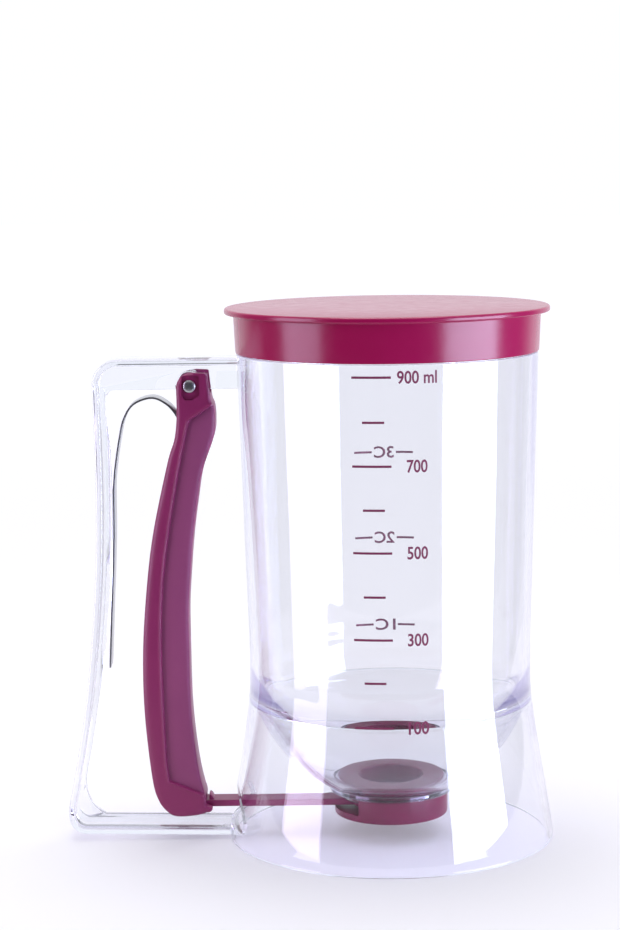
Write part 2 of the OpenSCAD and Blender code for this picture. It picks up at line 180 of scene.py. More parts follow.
def prism(name, first, second, material=None):
    """A closed plate between two equal outlines."""
    n = len(first)
    faces = [list(range(n)), list(range(2 * n - 1, n - 1, -1))]
    faces += [[i, (i + 1) % n, n + (i + 1) % n, n + i] for i in range(n)]
    return weld(piece(name, first + second, faces, material))


def across(name, outline, width, y=0.0, material=None):
    """A plate: an outline in x and z, with a width across y."""
    first, second = [[(x, y + s * width / 2, z) for x, z in outline] for s in (-1, 1)]
    return prism(name, first, second, material)


def round_edges(obj, width, segments=3, angle=40):
    """A small radius on the sharp edges."""
    m = obj.modifiers.new("round", "BEVEL")
    m.width, m.segments = width * MM, segments
    m.limit_method, m.angle_limit = "ANGLE", math.radians(angle)
    return settle(obj)


def combine(obj, tools, how="DIFFERENCE"):
    """Cuts tools away from the object, or adds them to it, and deletes them."""
    for tool in tools:
        m = obj.modifiers.new("boolean", "BOOLEAN")
        m.object, m.operation, m.solver = tool, how, "MANIFOLD"
        settle(obj)
        bpy.data.objects.remove(tool)
    return weld(obj, 0.0005)


def report(obj):
    """Prints what a step made."""
    size = [round(d * 1000, 1) for d in obj.dimensions]
    print(f"{obj.name}: {len(obj.data.polygons)} faces, {size} mm")
    return obj


# %% [markdown]
# ## Camera
#
# A longer lens stands a little above the lid and to the handle's side. The object's verticals lean a
# touch, so the camera has a small roll too.

# %% Camera
PLACE, TILT, ROLL, LENS = (-26.2, -805.4, 236.4), 7.744, -0.781, 93.7
camera = placed("camera", bpy.data.cameras.new("camera"))
camera.data.lens, camera.data.sensor_width = LENS, 36
camera.data.clip_start, camera.data.clip_end = 0.05, 50
camera.matrix_world = (Matrix.Translation(Vector(PLACE) * MM)
                       @ Matrix.Rotation(math.radians(90 - TILT), 4, "X")
                       @ Matrix.Rotation(math.radians(ROLL), 4, "Z"))
scene.camera = camera
print("camera at", [round(v, 3) for v in camera.matrix_world.translation])

# %% [markdown]
# ## Studio
#
# Clear plastic shows what surrounds it, so it is lit by wide soft lamps at both sides and by a white
# room. The room is dimmer around the camera, as a real studio is, and that gives the pitcher its bands.
# The floor is a plain white that keeps the object's shadow.

# %% Node helpers
def adder(tree):
    """A short function that adds a node to a tree.

    Plain arguments go on its inputs in their order, and named ones on its settings or on its inputs. An
    input takes a number or colour, or is joined when it is given another node's socket.
    """
    def add(kind, *terms, **values):
        n = tree.nodes.new(kind)
        on_inputs = list(zip(n.inputs, terms))
        for key, value in values.items():
            if hasattr(n, key):
                setattr(n, key, value)
            else:
                on_inputs.append((n.inputs[key.replace("_", " ")], value))
        for socket, value in on_inputs:
            if isinstance(value, bpy.types.NodeSocket):
                tree.links.new(value, socket)
            else:
                socket.default_value = value
        return n

    return add


def nodes_of(owner):
    """The adding function for the emptied node tree of a world or material."""
    owner.use_nodes = True
    owner.node_tree.nodes.clear()
    return adder(owner.node_tree)


def calc(add, operation, *terms):
    """The result of a Math node."""
    return add("ShaderNodeMath", *terms, operation=operation).outputs[0]


# %% World
BACKDROP = (1.0, 1.025, 1.09, 1)
# How far round, from behind the pitcher, 0, to the camera, 1, and how bright the room is there
ROOM = [(0, 1), (0.14, 1), (0.2, 0.5), (0.27, 0.16), (0.7, 0.12), (0.86, 0.03), (1, 0.03)]
STEEP_FROM, STEEP_TO = 0.36, 0.55


def make_world(levels, steep_level, through_level, colour):
    """A room as bright as its levels, and at least steep_level well above and below the horizon."""
    world = bpy.data.worlds.new("studio")
    scene.world = world
    add = nodes_of(world)
    path, place = add("ShaderNodeLightPath"), add("ShaderNodeTexCoord")
    axes = add("ShaderNodeSeparateXYZ", place.outputs["Generated"])
    room = add("ShaderNodeValToRGB", calc(add, "MULTIPLY_ADD", axes.outputs["Y"], -0.5, 0.5))
    stops = room.color_ramp.elements
    for position, value in levels[1:-1]:
        stops.new(position).color = (value, value, value, 1)
    for stop, (position, value) in ((stops[0], levels[0]), (stops[-1], levels[-1])):
        stop.position, stop.color = position, (value, value, value, 1)
    steep = add("ShaderNodeMapRange", calc(add, "ABSOLUTE", axes.outputs["Z"]), From_Min=STEEP_FROM,
                From_Max=STEEP_TO, To_Max=steep_level, interpolation_type="SMOOTHSTEP")
    mirrored = calc(add, "MAXIMUM", room.outputs[0], steep.outputs[0])
    # What is seen through the clear plastic is at least through_level, and the camera itself sees white
    through = calc(add, "MULTIPLY", path.outputs["Is Transmission Ray"], through_level)
    seen = calc(add, "MAXIMUM", through, path.outputs["Is Camera Ray"])
    back = add("ShaderNodeBackground", Color=colour, Strength=calc(add, "MAXIMUM", mirrored, seen))
    add("ShaderNodeOutputWorld", Surface=back.outputs[0])


make_world(ROOM, steep_level=0.5, through_level=0.58, colour=BACKDROP)
scene.view_settings.view_transform = "Standard"
# A ray crosses many clear walls before it is out again
scene.cycles.max_bounces = scene.cycles.transmission_bounces = 28
print("room levels:", ROOM)

# %% Lamps
def soft_lamp(name, azimuth, height, distance, size, radiance, colour=(1, 1, 1)):
    """A flat lamp that faces the axis. Azimuth 0 is the camera's side, 90 the side away from the handle."""
    data = bpy.data.lights.new(name, "AREA")
    data.shape, data.size, data.size_y, data.color = "RECTANGLE", *size, colour
    data.energy = radiance * math.pi * size[0] * size[1]
    lamp = placed(name, data)
    a = math.radians(azimuth)
    lamp.location = (math.sin(a) * distance, -math.cos(a) * distance, height)
    aim = Vector((-lamp.location.x, -lamp.location.y, 0 if distance > 0.3 else -1))
    lamp.rotation_euler = aim.to_track_quat("-Z", "Y").to_euler()
    lamp.visible_camera = False
    return lamp


def spare(obj, lamps):
    """Keeps the light of the lamps off one object."""
    group = bpy.data.collections.new("spared_" + obj.name)
    group.objects.link(obj)
    group.collection_objects[0].light_linking.link_state = "EXCLUDE"
    for lamp in lamps:
        lamp.light_linking.receiver_collection = group


side_lamps = [soft_lamp("lamp_right", 64, 0.09, 0.75, (0.64, 0.48), 10.8, (0.68, 0.76, 1.0)),
              soft_lamp("lamp_left", -68, 0.2, 0.75, (0.43, 0.7), 5.2, (0.83, 0.73, 1.0))]
top_lamp = soft_lamp("lamp_top", 180, 1.3, 0.1, (0.85, 0.85), 5.6)
print("lamps in W:", {lamp.name: round(lamp.data.energy, 1) for lamp in (*side_lamps, top_lamp)})

# %% Floor
FLOOR_CORNERS = [(-260, -160), (230, -160), (1500, 6000), (-1500, 6000)]
NEAR_GLOW, MORE_GLOW, GLOW_REACH = 0.219, 0.480, 1.38


def make_floor():
    """A white table whose front edge lies out of sight. Its own light keeps it white where lamps are far."""
    material = bpy.data.materials.new("white_floor")
    add = nodes_of(material)
    place = add("ShaderNodeTexCoord")
    length = add("ShaderNodeVectorMath", place.outputs["Object"], operation="LENGTH")
    # The lamp above fades with distance r, and the glow gains a share of r^3 / (r^3 + reach) for it
    cube = calc(add, "POWER", length.outputs["Value"], 3)
    share = calc(add, "DIVIDE", cube, calc(add, "ADD", cube, GLOW_REACH))
    glow = add("ShaderNodeEmission", Color=BACKDROP,
               Strength=calc(add, "MULTIPLY_ADD", share, MORE_GLOW, NEAR_GLOW))
    matt = add("ShaderNodeBsdfDiffuse", Color=(0.71, 0.69, 0.72, 1))
    both = add("ShaderNodeAddShader", matt.outputs[0], glow.outputs[0])
    add("ShaderNodeOutputMaterial", Surface=both.outputs[0])
    floor = piece("floor", [(x, y, -0.02) for x, y in FLOOR_CORNERS], [[0, 1, 2, 3]], material)
    # The side lamps leave the floor alone, so that it stays even and keeps only the shadow from above
    spare(floor, side_lamps)
    return report(floor)


make_floor()

# %% [markdown]
# ## Finishes
#
# Clear styrene is a glass shader with a faint blue body, so that thick edges turn blue. The magenta
# plastic comes from moulds of different polish: glossy for the lid, satin for lever and rod, and matt in
# the lever's panels, which are also painted lighter as a sheen. The valve has a darker copy of the
# magenta, painted shade for its place under the bowl. The steel strip is brushed, the pin is turned, the
# gasket is matt silicone and the printed scale a matt ink. No surface is perfectly even, so one function
# lets colour and roughness wander a little in all but the clear one, and adds grain where there is some.
# Image textures could do it, but noise in an object's own coordinates needs no unwrapping and no file.


# %% Finish helpers
def noise(add, scale, detail=2.0, stretch=(1, 1, 1)):
    """Noise in the object's own coordinates, scale in patches per metre."""
    place = add("ShaderNodeTexCoord")
    mapping = add("ShaderNodeMapping", Vector=place.outputs["Object"], Scale=stretch)
    return add("ShaderNodeTexNoise", Vector=mapping.outputs[0], Scale=scale, Detail=detail).outputs["Fac"]


def ranged(add, value, low, high):
    """Spreads a value from 0 to 1 over a smaller range."""
    return add("ShaderNodeMapRange", value, To_Min=low, To_Max=high).outputs[0]


def bumped(add, height, distance, strength=1.0):
    """A bump from a height that is distance deep, in millimetres."""
    return add("ShaderNodeBump", Height=height, Strength=strength, Distance=distance * MM).outputs[0]


def make_finish(name, tones, patches, roughness, give, rough_patches, grain=None, **more):
    """A finish between two close tones, whose roughness may give a little to both sides.

    patches and rough_patches are what noise takes after add. grain holds such patches too, and the depth
    in millimetres and strength of its bump. What is left goes on the shader's own sockets.
    """
    material = bpy.data.materials.new(name)
    add = nodes_of(material)
    tone = add("ShaderNodeMix", noise(add, *patches), data_type="RGBA")
    tone.inputs[6].default_value, tone.inputs[7].default_value = [(*colour, 1) for colour in tones]
    if grain:
        grain_patches, depth, strength = grain
        more["Normal"] = bumped(add, noise(add, *grain_patches), depth, strength)
    rough = ranged(add, noise(add, *rough_patches), roughness - give, roughness + give)
    body = add("ShaderNodeBsdfPrincipled", Base_Color=tone.outputs[2], Roughness=rough, **more)
    add("ShaderNodeOutputMaterial", Surface=body.outputs[0])
    return material


# %% Clear styrene
def clear_styrene():
    material = bpy.data.materials.new("clear_styrene")
    add = nodes_of(material)
    path, flow = add("ShaderNodeLightPath"), noise(add, 28, 1.0, (1, 1, 0.45))
    body = add("ShaderNodeBsdfPrincipled", Base_Color=(0.955, 0.96, 0.975, 1), IOR=1.57,
               Transmission_Weight=1.0, Roughness=ranged(add, noise(add, 60), 0.0, 0.03),
               Normal=bumped(add, flow, 0.25))
    see_through = add("ShaderNodeBsdfTransparent", Color=(0.84, 0.82, 0.86, 1))
    lit = add("ShaderNodeMixShader", path.outputs["Is Shadow Ray"], body.outputs[0], see_through.outputs[0])
    # Where a thick corner mirrors light to and fro, a ray leaves straight after its second mirroring.
    # Followed further it would end on the dark side of the studio and blacken the corner
    mirrored_twice = calc(add, "GREATER_THAN", path.outputs["Glossy Depth"], 1.5)
    straight_out = add("ShaderNodeBsdfTransparent", Color=(0.9, 0.89, 0.95, 1))
    surface = add("ShaderNodeMixShader", mirrored_twice, lit.outputs[0], straight_out.outputs[0])
    tint = add("ShaderNodeVolumeAbsorption", Color=(0.74, 0.76, 0.92, 1), Density=14)
    add("ShaderNodeOutputMaterial", Surface=surface.outputs[0], Volume=tint.outputs[0])
    return material


CLEAR = clear_styrene()


# %% Magenta plastic
def magenta_plastic(name, low, high, roughness, grain_depth):
    """A magenta between two close tones, from a smooth or a grained mould."""
    return make_finish(name, (low, high), (90,), roughness, 0.05, (240, 3),
                       ((2600, 3), grain_depth, 0.5), IOR=1.49)


GLOSSY = magenta_plastic("magenta_glossy", (0.28, 0.003, 0.056), (0.315, 0.004, 0.065), 0.22, 0.008)
MAGENTA = magenta_plastic("magenta_satin", (0.19, 0.011, 0.073), (0.22, 0.016, 0.085), 0.42, 0.02)
# A rougher magenta whose lighter tone is a painted sheen; only the roughness is the real matt finish
PANEL_SHEEN = magenta_plastic("magenta_matt", (0.21, 0.034, 0.108), (0.24, 0.043, 0.122), 0.55, 0.03)
# A darker copy of the same magenta: painted shade for the valve parts under the bowl
SHADED_MAGENTA = magenta_plastic("magenta_inner", (0.13, 0.003, 0.038), (0.155, 0.005, 0.046), 0.3, 0.01)


# %% Spring steel
def steel_finish(name, stretch):
    """Steel with fine streaks, which the stretch draws out."""
    streaks = (900, 4, stretch)
    return make_finish(name, ((0.42, 0.42, 0.43), (0.62, 0.62, 0.63)), streaks, 0.3, 0.08,
                       streaks, (streaks, 0.01, 0.4), Metallic=1.0)


STEEL = steel_finish("brushed_steel", (0.15, 6, 0.15))
TURNED_STEEL = steel_finish("turned_steel", (2, 2, 2))


# %% Silicone and ink
def matt_finish(name, low, high, roughness, scale):
    """A matt finish that wanders between two close colours."""
    return make_finish(name, (low, high), (scale, 3), roughness, 0.08, (scale, 3), IOR=1.45)


SILICONE = matt_finish("pale_silicone", (0.74, 0.74, 0.72), (0.82, 0.82, 0.8), 0.55, 500)
INK = matt_finish("scale_ink", (0.16, 0.02, 0.06), (0.20, 0.03, 0.08), 0.6, 3000)
FINISHES = (CLEAR, GLOSSY, MAGENTA, PANEL_SHEEN, SHADED_MAGENTA, STEEL, TURNED_STEEL, SILICONE, INK)
print("finishes:", [material.name for material in FINISHES])

# %% [markdown]
# ## Turned pieces
#
# The pitcher, lid, seat and housing are round, so each is one profile taken round the axis. Blender's
# Screw modifier would do, or a spin in mesh code. Here a Geometry Nodes tree sweeps the profile round a
# circle, so that the number of steps stays an input, and welds the poles shut.


# %% Sweep trees
def new_tree(name, inputs):
    """A Geometry Nodes tree with named inputs: what it is given, and functions to add nodes and end it."""
    tree = bpy.data.node_groups.new(name, "GeometryNodeTree")
    tree.interface.new_socket("Geometry", in_out="INPUT", socket_type="NodeSocketGeometry")
    for label, kind, value in inputs:
        socket = tree.interface.new_socket(label, in_out="INPUT", socket_type=kind)
        if value is not None:
            socket.default_value = value
    tree.interface.new_socket("Geometry", in_out="OUTPUT", socket_type="NodeSocketGeometry")
    given, add = tree.nodes.new("NodeGroupInput").outputs, adder(tree)

    def end(socket):
        """Realizes instances, sets the material and closes the tree."""
        real = add("GeometryNodeRealizeInstances", socket)
        paint = add("GeometryNodeSetMaterial", Geometry=real.outputs[0], Material=given["Material"])
        add("NodeGroupOutput", paint.outputs[0])
        return tree

    return given, add, end


def run_tree(obj, tree, **values):
    """Runs a tree on an object, its inputs set by identifier, and keeps the plain mesh."""
    m = obj.modifiers.new(tree.name, "NODES")
    m.node_group = tree
    for item in tree.interface.items_tree:
        label = item.name.replace(" ", "_")
        if item.in_out == "INPUT" and label in values:
            m[item.identifier] = values[label]
    return settle(obj)


def turning_tree():
    given, add, end = new_tree("turned", [
        ("Steps", "NodeSocketInt", 192), ("Ring Radius", "NodeSocketFloat", 0.1),
        ("Material", "NodeSocketMaterial", None)])
    parts = add("ShaderNodeSeparateXYZ", add("GeometryNodeInputPosition").outputs[0])
    # The profile lies in x and z. A swept profile is read in x and y, from the ring outwards
    outwards = calc(add, "SUBTRACT", parts.outputs["X"], given["Ring Radius"])
    flat = add("ShaderNodeCombineXYZ", outwards, calc(add, "MULTIPLY", parts.outputs["Z"], -1))
    move = add("GeometryNodeSetPosition", Geometry=given["Geometry"], Position=flat.outputs[0])
    line = add("GeometryNodeMeshToCurve", Mesh=move.outputs[0])
    ring = add("GeometryNodeCurvePrimitiveCircle", Resolution=given["Steps"], Radius=given["Ring Radius"])
    sweep = add("GeometryNodeCurveToMesh", Curve=ring.outputs["Curve"], Profile_Curve=line.outputs[0])
    close = add("GeometryNodeMergeByDistance", Geometry=sweep.outputs[0], Distance=1e-6)
    return end(close.outputs[0])


TURNED = turning_tree()


def turned(name, profile, material, steps=192, closed=True):
    """A round piece from a profile of (radius, height) points, its corners rounded where they say so."""
    profile = rounded(profile, closed=closed)
    n = len(profile)
    edges = [(i, i + 1) for i in range(n - 1)] + ([(n - 1, 0)] if closed else [])
    obj = piece(name, [(r, 0, z) for r, z in profile], edges=edges)
    run_tree(obj, TURNED, Steps=steps, Material=material)
    return soften(weld(obj, 0.001))


# %% [markdown]
# ## The clear pitcher
#
# One moulding: a tapered wall with a rim for the lid, a half-round bowl with a flat floor and a hole, and
# the flared skirt that it stands on. Where bowl and skirt meet, the plastic has a small fillet. The
# profile is one closed loop, so light meets only real surfaces.

# %% Pitcher profile
WALL, WAIST_R, WAIST_Z, TAPER_Z = 2.2, 47.5, 60.0, 67.0
TOP_R, LEDGE_Z, RIM_TOP_Z, RIM_R = 50.4, 164.9, 177.9, 49.12
FOOT_R, FLARE_Z, BEND_Z = 55.3, 56.0, 41.5
FLOOR_Z, FLOOR_TOP_Z, BOSS_R, HOLE_R, RECESS_R = 15.4, 17.6, 20.8, 13.08, 18.9
COLLAR_IN, COLLAR_OUT, COLLAR_H = 15.52, 17.32, 2.0
CREASE_GAP = 1.2

skirt_line = bezier([(WAIST_R, FLARE_Z), (WAIST_R, FLARE_Z - 0.59 * (FLARE_Z - BEND_Z)),
                     (WAIST_R + 0.14 * (FOOT_R - WAIST_R), BEND_Z), (FOOT_R, 0.8)], 40)


def ball(radius, low_r, high_r, steps):
    """The half sphere's line from one radius to another, from its lower part up."""
    start, end = (math.degrees(math.asin(r / radius)) for r in (low_r, high_r))
    return arc((0, WAIST_Z), radius, start - 90, end - 90, steps)


def pitcher_profile():
    # The crease, where the inside of the skirt meets the outside of the bowl, has room for its radius
    inner = [(r - WALL, z) for r, z in skirt_line if z < FLARE_Z - 1]
    within = [math.hypot(r, WAIST_Z - z) <= WAIST_R for r, z in inner]
    last = max(i for i, w in enumerate(within) if w)
    crease, below = inner[last], inner[last + 3:]
    outside = [(FOOT_R, 0, 0.6)] + [p for p in reversed(skirt_line) if p[1] > 1.2] + [
        (WAIST_R, TAPER_Z), (TOP_R, LEDGE_Z, 0.35), (RIM_R, LEDGE_Z), (RIM_R, RIM_TOP_Z, 0.6),
        (TOP_R - WALL, RIM_TOP_Z, 0.5)]
    inside = [(TOP_R - WALL, LEDGE_Z), (WAIST_R - WALL, TAPER_Z)]
    inside += ball(WAIST_R - WALL, RECESS_R, WAIST_R - WALL, 40)[::-1]
    floor = [(RECESS_R, FLOOR_TOP_Z, 0.3), (HOLE_R, FLOOR_TOP_Z, 0.25), (HOLE_R, FLOOR_Z),
             (COLLAR_IN, FLOOR_Z, 0.25), (COLLAR_IN, FLOOR_Z - COLLAR_H, 0.25),
             (COLLAR_OUT, FLOOR_Z - COLLAR_H, 0.25), (COLLAR_OUT, FLOOR_Z, 0.25),
             (BOSS_R, FLOOR_Z, 0.5)]
    under = ball(WAIST_R, BOSS_R, crease[0] - CREASE_GAP, 40)
    under[0] = (*under[0], 0.5)
    return rounded(outside + inside + floor + under + [(*crease, 1.0)] + below
                   + [(FOOT_R - WALL, 0, 0.4)])


profile = pitcher_profile()
clear_body = turned("clear_pitcher", profile, CLEAR, steps=224)
print("profile points:", len(profile))

# %% [markdown]
# The skirt has an arched window on the handle's side, where the rod comes out. It is cut before the
# handle is joined on, so that the cut leaves the handle whole.

# %% Window
WINDOW_HALF, WINDOW_LOW, WINDOW_TOP, WINDOW_ARCH = 20.0, 5.0, 17.8, 26.7
CUT_FROM, CUT_TO = -60, -36
foot = math.degrees(math.acos(WINDOW_HALF / WINDOW_ARCH))
crown = arc((0, WINDOW_TOP - WINDOW_ARCH), WINDOW_ARCH, foot, 180 - foot, 32)
opening = rounded([(-WINDOW_HALF, WINDOW_LOW, 0.8), (WINDOW_HALF, WINDOW_LOW, 0.8)] + crown)
cutter = prism("window_cutter", *[[(x, y, z) for y, z in opening] for x in (CUT_FROM, CUT_TO)])
report(combine(clear_body, [cutter]))

# %% [markdown]
# ## The handle
#
# The handle is an I-beam bent into a frame: a wide flange all along its outside and a thin web inside it.
# The flange is a strip that follows a path, so a tree sweeps it. The web is a plate between two
# outlines, and a small boss in it carries the pivot pin.

# %% Handle lines
TOP_Z, LOW_Z, ARM_RISE = 163.7, 1.4, 0.9
GRIP_TOP_X, GRIP_LOW_X, GRIP_H = 98.3, 109.5, 5.2
FLANGE_W, FLANGE_T, WEB_T, ARM_TOP_H, ARM_LOW_H, HEEL_H = 15.0, 2.2, 2.4, 10.6, 5.4, 14.7
CORNER_TOP, CORNER_LOW, CORNER_IN = 8.5, 6.0, 3.0
HOLE_TOP_Z, HOLE_LOW_Z = TOP_Z - ARM_TOP_H, LOW_Z + ARM_RISE + ARM_LOW_H
SLOPE = ARM_RISE / (GRIP_LOW_X - FOOT_R)


def by_grip(lean, depth, share):
    return (-GRIP_TOP_X - lean * (GRIP_LOW_X - GRIP_TOP_X) + depth * GRIP_H,
            LOW_Z + share * (TOP_Z - LOW_Z))


def by_heel(dx, dz):
    return -GRIP_LOW_X + HEEL_H * dx, HOLE_LOW_Z + HEEL_H * dz


def thinned(line, gap=0.4):
    """The line without the points that lie closer to the one before than the gap."""
    out = [line[0]]
    for q in line[1:]:
        if math.dist(q, out[-1]) > gap:
            out.append(q)
    return out


grip_line = spline([(-GRIP_TOP_X, TOP_Z - CORNER_TOP), by_grip(-0.045, 0, 0.712),
                    by_grip(0.08, 0, 0.503), by_grip(0.438, 0, 0.271),
                    (-GRIP_LOW_X, LOW_Z + ARM_RISE + 1.5 * CORNER_LOW)], 26)
web_run = [(-0.035, 1, 0.799), (-0.045, 1, 0.731), (-0.035, 0.983, 0.645), (0.02, 0.985, 0.558),
           (0.09, 1.02, 0.497)]
hole_line = spline([(by_grip(0, 0.81, 0)[0], HOLE_TOP_Z - CORNER_IN), by_grip(-0.02, 0.913, 0.852)]
                   + [by_grip(*q) for q in web_run]
                   + [by_grip(0.2, 1.008, 0.412), by_grip(0.29, 0.875, 0.355),
                      by_grip(0.39, 0.744, 0.293), by_grip(0.55, 0.646, 0.208), by_heel(0.401, 1),
                      by_heel(0.381, 0.735), by_heel(0.422, 0.469), by_heel(0.565, 0.197),
                      by_heel(0.816, 0)], 6)
outer_line = thinned(
    [(-49.0, TOP_Z), (-60, TOP_Z)]
    + arc((-GRIP_TOP_X + CORNER_TOP, TOP_Z - CORNER_TOP), CORNER_TOP, 90, 180, 14) + grip_line
    + arc((-GRIP_LOW_X + CORNER_LOW, LOW_Z + ARM_RISE + CORNER_LOW), CORNER_LOW, 180, 270, 12)
    + [(-60, LOW_Z + SLOPE * 4), (-53.6, LOW_Z)])


def offset_line(line, distance):
    """The line moved sideways, to its left."""
    p = [Vector(q) for q in line]
    out = []
    for i, q in enumerate(p):
        ahead = (p[min(i + 1, len(p) - 1)] - p[max(i - 1, 0)]).normalized()
        out.append((q.x - ahead.y * distance, q.y + ahead.x * distance))
    return out


# %% Flange
def sweep_tree():
    given, add, end = new_tree("swept_strip", [
        ("Width", "NodeSocketFloat", 0.015), ("Thickness", "NodeSocketFloat", 0.002),
        ("Edge Radius", "NodeSocketFloat", 0.0005), ("Material", "NodeSocketMaterial", None)])
    line = add("GeometryNodeMeshToCurve", Mesh=given["Geometry"])
    shape = add("GeometryNodeCurvePrimitiveQuadrilateral", Width=given["Width"], Height=given["Thickness"])
    soft = add("GeometryNodeFilletCurve", mode="POLY", Curve=shape.outputs[0], Count=5,
               Radius=given["Edge Radius"])
    sweep = add("GeometryNodeCurveToMesh", Curve=line.outputs[0], Profile_Curve=soft.outputs[0],
                Fill_Caps=True)
    return end(sweep.outputs[0])


SWEPT = sweep_tree()


def swept(name, line, width, thickness, edge, material):
    """A strip of even thickness that follows a line in x and z, width across y."""
    obj = piece(name, [(x, 0, z) for x, z in line], edges=[(i, i + 1) for i in range(len(line) - 1)])
    run_tree(obj, SWEPT, Width=width * MM, Thickness=thickness * MM, Edge_Radius=edge * MM,
             Material=material)
    return weld(obj, 0.001)


flange = swept("flange", offset_line(outer_line, FLANGE_T / 2), FLANGE_W, FLANGE_T, 0.6, CLEAR)
report(flange)

# %% Web and boss
web_outline = (offset_line(outer_line, FLANGE_T - 0.6)
               + [(-53.9, LOW_Z + ARM_LOW_H + 0.05)] + hole_line[::-1]
               + arc((hole_line[0][0] + CORNER_IN, HOLE_TOP_Z - CORNER_IN), CORNER_IN, 90, 180, 6)[::-1]
               + [(-49.2, HOLE_TOP_Z)])
PIVOT_X, PIVOT_Z, PIN_R = 65.9, 154.7, 1.6


def bar(name, radius, width, y=0.0, material=None, steps=48):
    """A round bar across y through the pivot."""
    outline = arc((-PIVOT_X, PIVOT_Z), radius, 0, 360 * (1 - 1 / steps), steps - 1)
    return across(name, outline, width, y, material)


web = round_edges(across("web", web_outline, WEB_T, material=CLEAR), 0.35, 2)
boss = bar("boss", 4.6, 11.4, material=CLEAR)
combine(clear_body, [flange, web, boss], "UNION")
combine(clear_body, [bar("pin_bore", PIN_R + 0.01, 30)])
soften(clear_body, 34)
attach(clear_body, "pitcher")
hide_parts("pitcher_wall", "pitcher_bowl", "base_skirt", "handle_top_arm", "handle_grip",
            "handle_bottom_arm")
# The clear plastic shows no mirror image of the lamp above
spare(clear_body, [top_lamp])
report(clear_body)

# %% [markdown]
# ## The lid
#
# A shallow cap that lifts off: a flat top that stands out over a skirt, and a plug ring inside the rim.
# Discs and rings could be joined, but one profile that ends on the axis gives it in one closed surface. Its
# face edge has a small radius that catches the light.

# %% Lid
LID_R, LID_T, LID_SKIRT_R, LID_SKIRT_T, LID_DRAFT = 54.2, 1.9, 50.6, 1.4, 0.6
LID_UNDER_Z, LID_LOW_Z, PLUG_R, PLUG_T, PLUG_LOW_Z = 178.2, 165.2, 47.9, 1.5, 172.2
lid_profile = [
    (0, LID_UNDER_Z), (PLUG_R - PLUG_T, LID_UNDER_Z, 0.3), (PLUG_R - PLUG_T, PLUG_LOW_Z, 0.4),
    (PLUG_R, PLUG_LOW_Z, 0.6), (PLUG_R, LID_UNDER_Z, 0.2),
    (LID_SKIRT_R - LID_SKIRT_T, LID_UNDER_Z, 0.2), (LID_SKIRT_R - LID_SKIRT_T, LID_LOW_Z, 0.3),
    (LID_SKIRT_R, LID_LOW_Z, 0.3), (LID_SKIRT_R + LID_DRAFT, LID_UNDER_Z, 0.5),
    (LID_R, LID_UNDER_Z, 0.5), (LID_R, LID_UNDER_Z + LID_T, 0.8), (20, LID_UNDER_Z + LID_T),
    (0, LID_UNDER_Z + LID_T)]
lid = report(turned("lid_cap", lid_profile, GLOSSY, closed=False))
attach(lid, "lid")
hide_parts("lid")

# %% [markdown]
# ## The trigger lever
#
# The lever is a deep channel: two cheeks, a wall under the fingers and a closed bottom. Its sides carry a
# let-in panel behind a raised rim, and every outer edge is rounded. It is made like a relief: points are
# spread over the side outline, and each gets its height from its distance to the edges and the panel.
# The channel is then cut out of the back.

# %% Lever outlines
LEVER_DROP, LEVER_DEPTH, LEVER_W, CHEEK_T, FINGER_T, BOTTOM_T = 143.1, 17.4, 16.8, 2.4, 2.2, 1.3
HEAD_R, HEAD_BACK, HEAD_DROP, TOE_IN = 5.2, 4.4, 0.7, 2.9
EDGE_DROP = 1.5
# The let-in panel: its depth, its wall's width, the extra hollow beside the wall and the lip round it
RECESS, PANEL_WALL, HOLLOW, HOLLOW_REACH = 0.8, 0.3, 0.45, 2.6
LIP, LIP_AT, LIP_WIDTH = 0.2, -0.35, 0.3


def on_lever(points):
    """Places on the lever: how far behind the pivot and how far down, as shares of its depth and length."""
    return [(-PIVOT_X - b * LEVER_DEPTH, PIVOT_Z - s * LEVER_DROP) for b, s in points]


HEAD, TOE = HEAD_BACK / LEVER_DEPTH, TOE_IN / LEVER_DEPTH
back_line = spline(on_lever([
    (HEAD, 0.01), (HEAD, 0.07), (0.305, 0.124), (0.448, 0.18), (0.759, 0.35), (0.92, 0.5), (1, 0.64),
    (0.989, 0.78), (0.874, 0.93), (0.759, 0.985), (0.586, 1.014), (0.397, 1.025), (0.029, 1.023),
    (-0.195, 1.016)]), 8)
finger_line = spline(on_lever([
    (-0.287, 1.01), (-0.282, 1.004), (-TOE, 0.997), (-TOE, 0.982), (-0.063, 0.927), (0.023, 0.853),
    (0.086, 0.752), (0.098, 0.6), (0.092, 0.52), (0.04, 0.433), (-0.023, 0.353), (-0.121, 0.269),
    (-0.224, 0.198), (-0.448, 0.12), (-0.483, 0.082), (-0.466, 0.05), (-0.408, 0.031),
    (-0.345, -0.03)]), 8)
panel_line = spline(on_lever([(0.034, 0.08), (0.282, 0.22), (0.563, 0.43), (0.649, 0.62),
                              (0.603, 0.86), (0.54, 0.937)]), 10)
panel_outline = panel_line + on_lever([(-0.126, 0.972), (-2, 0.972), (-2, -0.03), (-0.5, 0.038)])
head_line = arc((-PIVOT_X + HEAD_R - HEAD_BACK, PIVOT_Z - HEAD_DROP), HEAD_R, 90, 180, 14)
lever_outline = head_line + back_line + finger_line


# %% Relief helper
def spread(line, step, closed=True):
    """The same line with a point at least every step."""
    out, n = [], len(line)
    for i in range(n if closed else n - 1):
        a, b = np.array(line[i]), np.array(line[(i + 1) % n])
        parts = max(1, math.ceil(np.linalg.norm(b - a) / step))
        out += [tuple(a + (b - a) * k / parts) for k in range(parts)]
    return out if closed else out + [tuple(line[-1])]


def distance_to(points, line, closed=False):
    """The distance from each point to a line."""
    p, a = np.array(points, float), np.array(line, float)
    b = np.roll(a, -1, axis=0) if closed else a[1:]
    a = a if closed else a[:-1]
    d = b - a
    t = np.clip(((p[:, None] - a) * d).sum(2) / np.maximum((d * d).sum(1), 1e-12), 0, 1)
    return np.linalg.norm(p[:, None] - (a + t[..., None] * d), axis=2).min(1)


